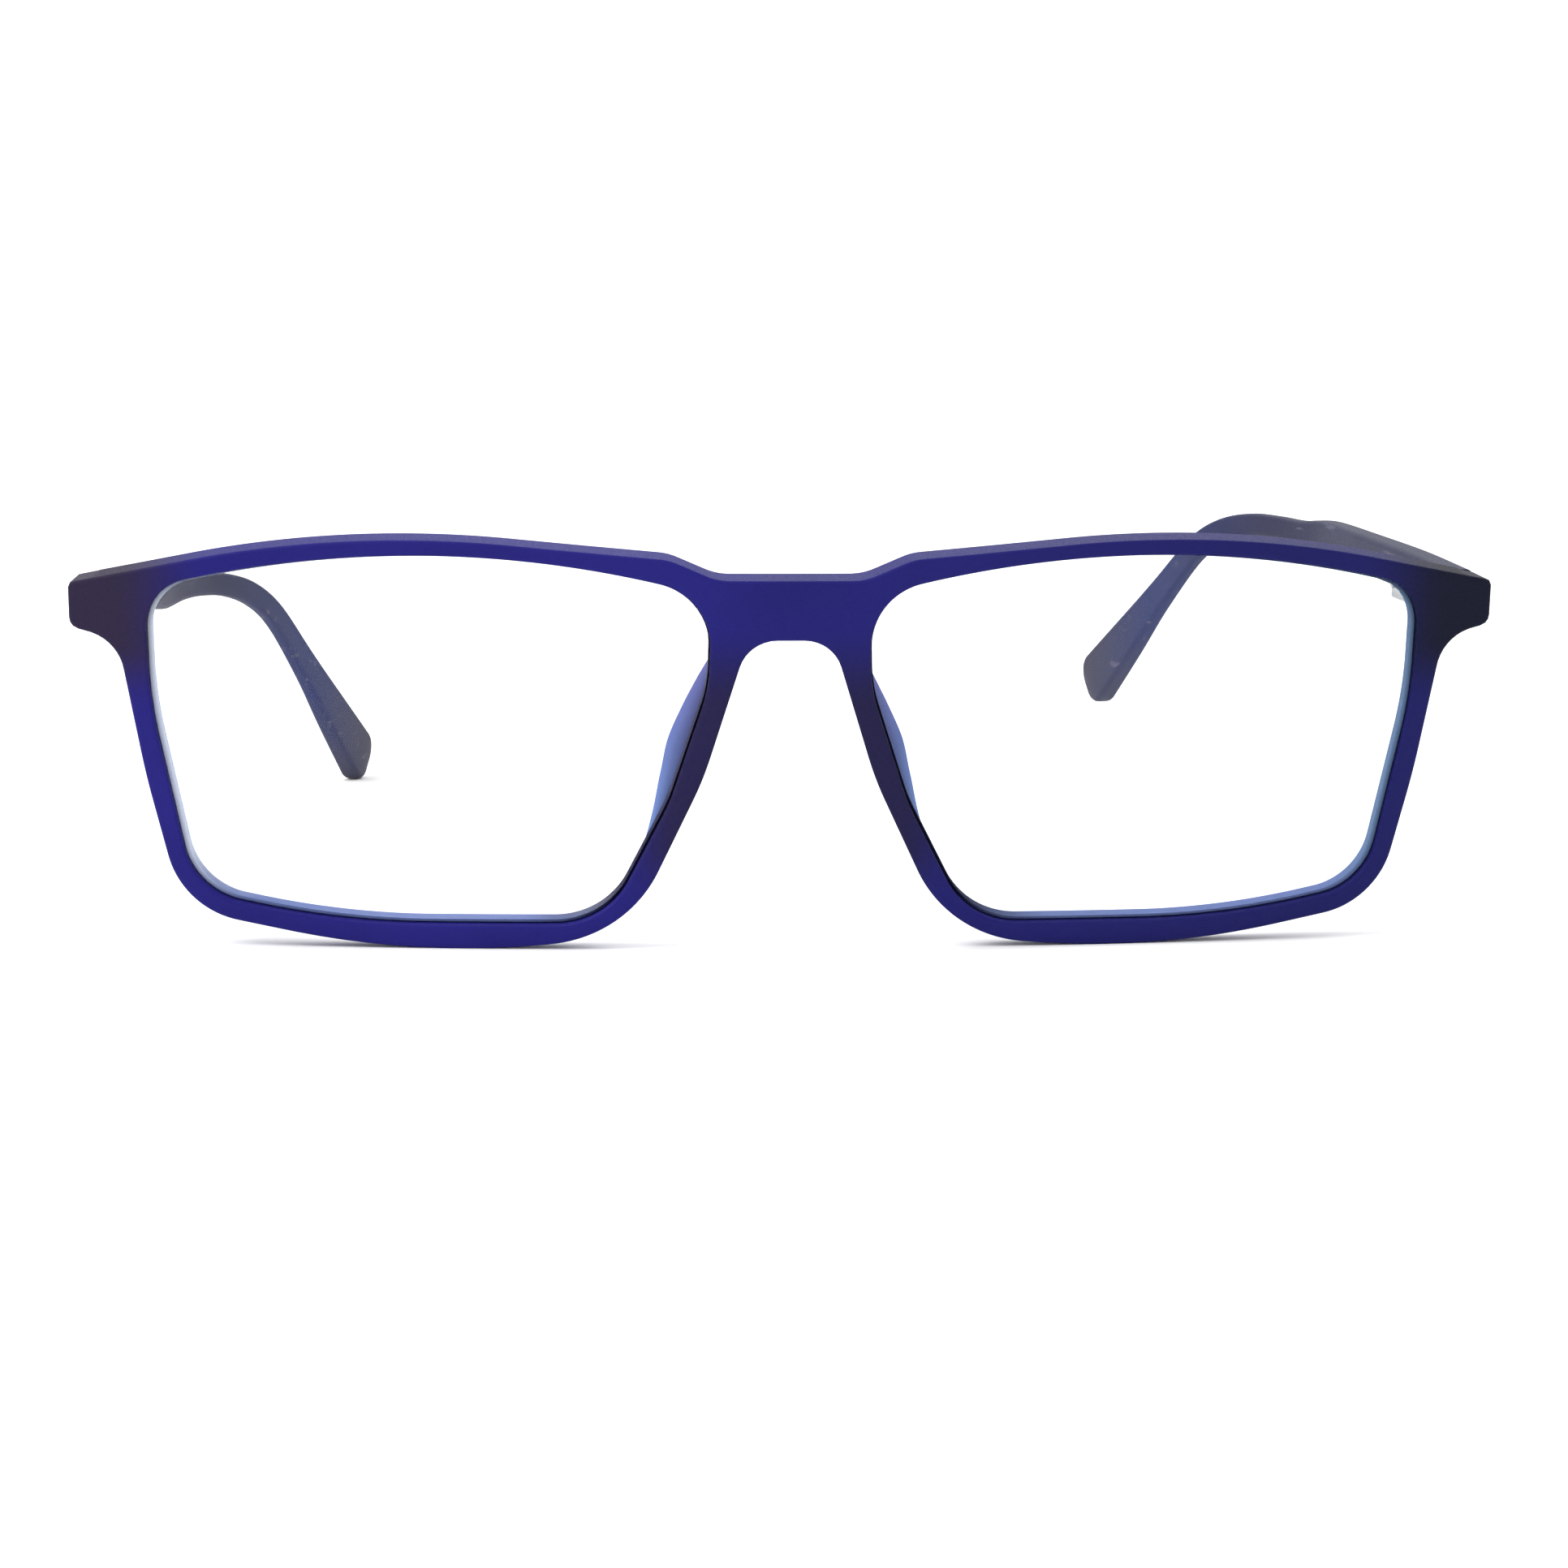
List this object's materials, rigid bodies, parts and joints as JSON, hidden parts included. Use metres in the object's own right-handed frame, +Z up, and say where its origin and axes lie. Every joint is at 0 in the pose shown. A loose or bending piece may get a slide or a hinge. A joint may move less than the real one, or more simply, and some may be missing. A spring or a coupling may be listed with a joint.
{
  "type": "blue light glasses",
  "caption": "Full-rim rectangular moulded eyeglass frame with clear blue-light lenses, moulded nose pads and folding spring-hinged temples.",
  "frame": {"origin": "middle of the bounding box at its base, on the surface that both rims' lower edges and the right ear tip stand on", "axes": "+Z up, -Y the way the lenses face, +Y back along the open temples, +X towards the wearer's left"},
  "size_m": [0.14, 0.1424, 0.0411],
  "materials": {
    "front": "matte indigo injection-moulded nylon (TR90), seamless",
    "temple": "matte grey-navy injection-moulded nylon (TR90)",
    "lens": "clear plastic lens with a blue-cut coating, polished",
    "hinge": "plain steel spring hinge parts and screws"
  },
  "bodies": {
    "front": {"front_frame": "front", "lens_left": "lens", "hinge_leaf_left": "hinge", "leaf_screw_upper_left": "hinge", "leaf_screw_lower_left": "hinge", "pivot_screw_left": "hinge", "lens_right": "lens", "hinge_leaf_right": "hinge", "leaf_screw_upper_right": "hinge", "leaf_screw_lower_right": "hinge", "pivot_screw_right": "hinge"},
    "slider_left": {"spring_slider_left": "hinge", "spring_stop_left": "hinge"},
    "slider_right": {"spring_slider_right": "hinge", "spring_stop_right": "hinge"},
    "temple_left": {"temple_left": "temple", "spring_housing_left": "hinge", "housing_screw_left": "hinge", "coil_spring_left": "hinge"},
    "temple_right": {"temple_right": "temple", "spring_housing_right": "hinge", "housing_screw_right": "hinge", "coil_spring_right": "hinge"}
  },
  "joints": [
    {"name": "left_fold", "type": "hinge", "parent": "front", "child": "slider_left", "pos_m": [0.0657, -0.05546, 0.03452], "axis": [0, 0, 1], "range_deg": [0, 79]},
    {"name": "left_spring_travel", "type": "slide", "parent": "slider_left", "child": "temple_left", "axis": [0, 1, 0], "range_m": [0, 0.0018], "stiffness_N_per_m": 1500, "springref_m": -0.002, "deforming": ["coil_spring_left"]},
    {"name": "right_fold", "type": "hinge", "parent": "front", "child": "slider_right", "pos_m": [-0.0657, -0.05546, 0.03452], "axis": [0, 0, -1], "range_deg": [0, 82]},
    {"name": "right_spring_travel", "type": "slide", "parent": "slider_right", "child": "temple_right", "axis": [0, 1, 0], "range_m": [0, 0.0018], "stiffness_N_per_m": 1500, "springref_m": -0.002, "deforming": ["coil_spring_right"]}
  ]
}
